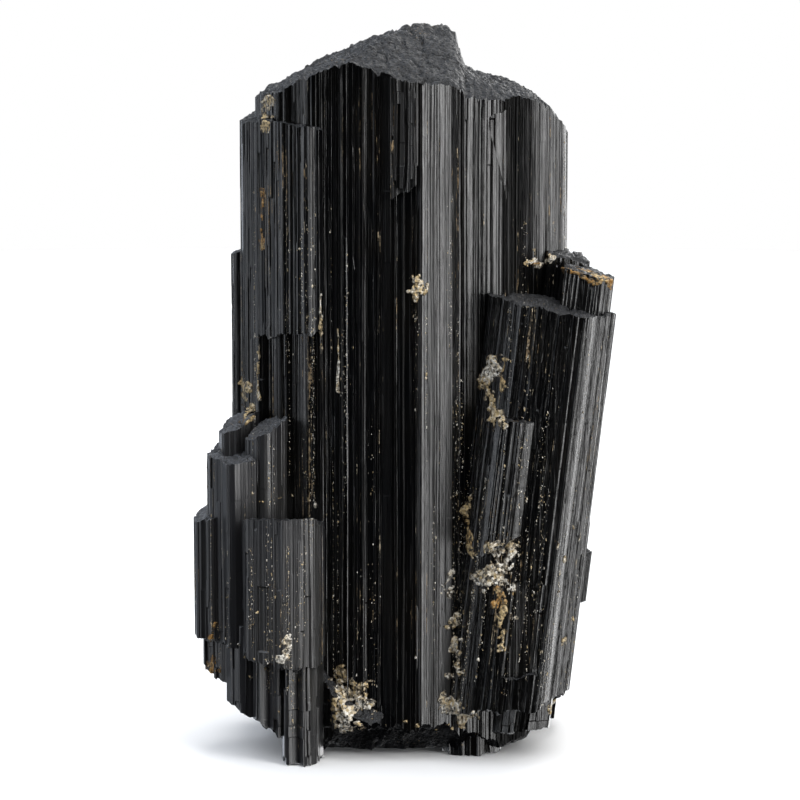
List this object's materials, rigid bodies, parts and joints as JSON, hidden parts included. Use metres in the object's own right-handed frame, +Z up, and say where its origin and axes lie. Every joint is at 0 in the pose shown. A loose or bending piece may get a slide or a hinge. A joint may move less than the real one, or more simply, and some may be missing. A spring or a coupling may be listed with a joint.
{
  "type": "black tourmaline crystal",
  "caption": "Hand specimen of black tourmaline: a thick striated prism with smaller crystals grown against its flanks and pale feldspar in the seams, standing on its broken base.",
  "frame": {"origin": "on the surface it stands on, under the middle of its outline", "axes": "+Z up along the prism, -Y towards the front with the broad striated faces, +X towards the leaning crystals"},
  "size_m": [0.0679, 0.0469, 0.1166],
  "materials": {
    "schorl": "glassy black prism faces with deep lengthwise striation, matt and granular on the broken top and base",
    "feldspar": "matt cream to tan grains with rusty specks"
  },
  "bodies": {
    "root": {"main_crystal": "schorl", "left_crystals": "schorl", "leaning_crystals": "schorl", "feldspar_on_shoulder": "feldspar", "feldspar_in_front_pit": "feldspar", "feldspar_in_upper_seam": "feldspar", "feldspar_fork": "feldspar", "feldspar_in_lower_seam": "feldspar", "feldspar_in_lower_pit": "feldspar", "feldspar_at_base": "feldspar", "feldspar_heel": "feldspar", "feldspar_on_left_flank": "feldspar", "feldspar_on_left_crystal": "feldspar"}
  },
  "joints": []
}
